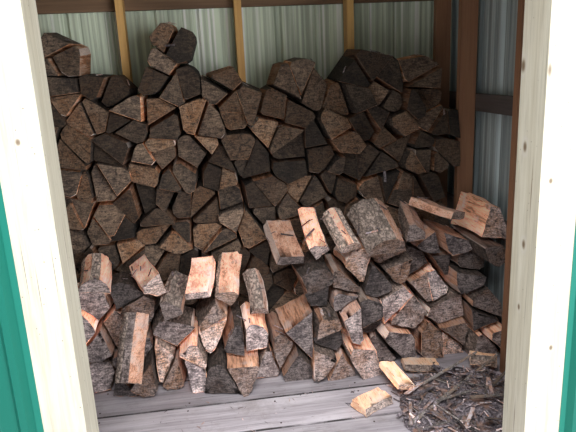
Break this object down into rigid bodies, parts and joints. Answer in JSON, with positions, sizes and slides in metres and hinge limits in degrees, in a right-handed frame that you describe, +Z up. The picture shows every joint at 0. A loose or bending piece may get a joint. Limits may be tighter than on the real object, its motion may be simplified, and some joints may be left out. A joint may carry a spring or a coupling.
{
  "type": "log store",
  "caption": "Small timber-framed shed with ribbed metal cladding, an open doorway and a board floor, stacked with split firewood in a tall back row and a lower front row.",
  "frame": {"origin": "on the ground, at the middle of the shed in width and depth", "axes": "+X to the right seen from the door, +Y from the door towards the back wall, +Z up"},
  "size_m": [2.81, 2.238, 2.645],
  "materials": {
    "green_sheet": "satin, weathered",
    "framing": "planed, yellow-brown",
    "trim_board": "planed, pale",
    "bark": "rough bark and chips",
    "pale_post": "planed, pale, knotty",
    "fresh_split": "freshly split, rough",
    "firewood": "split, rough, weathered",
    "floor_board": "weathered grey",
    "floor_frame": "rough sawn",
    "roof_sheet": "satin, weathered",
    "stick": "weathered bark"
  },
  "bodies": {
    "root": {"back_cladding": "green_sheet", "back_girts": "framing", "back_plate": "framing", "back_studs": "framing", "barge_board_left": "trim_board", "barge_board_right": "trim_board", "bark_heap": "bark", "corner_studs_back": "framing", "corner_studs_front": "framing", "corner_trims_back": "green_sheet", "corner_trims_front": "green_sheet", "door_header": "framing", "door_post_left": "pale_post", "door_post_right": "pale_post", "door_trims": "green_sheet", "fallen_splits": "fresh_split", "fascia_back": "trim_board", "fascia_front": "trim_board", "firewood_back_left": "firewood", "firewood_back_middle": "firewood", "firewood_back_right": "firewood", "firewood_front_left": "firewood", "firewood_front_middle": "firewood", "firewood_front_right": "firewood", "floor_deck": "floor_board", "floor_joists": "floor_frame", "floor_rim_back": "floor_frame", "floor_rim_front": "floor_frame", "front_cladding_left": "green_sheet", "front_cladding_over_door": "green_sheet", "front_cladding_right": "green_sheet", "front_girts_left": "framing", "front_girts_right": "framing", "leaning_splits": "framing", "left_cladding": "green_sheet", "left_girts": "framing", "left_studs": "framing", "purlins": "framing", "rafters": "framing", "right_cladding": "green_sheet", "right_girts": "framing", "right_studs": "framing", "roof_sheet": "roof_sheet", "skids": "floor_frame", "sticks": "stick"}
  },
  "joints": []
}
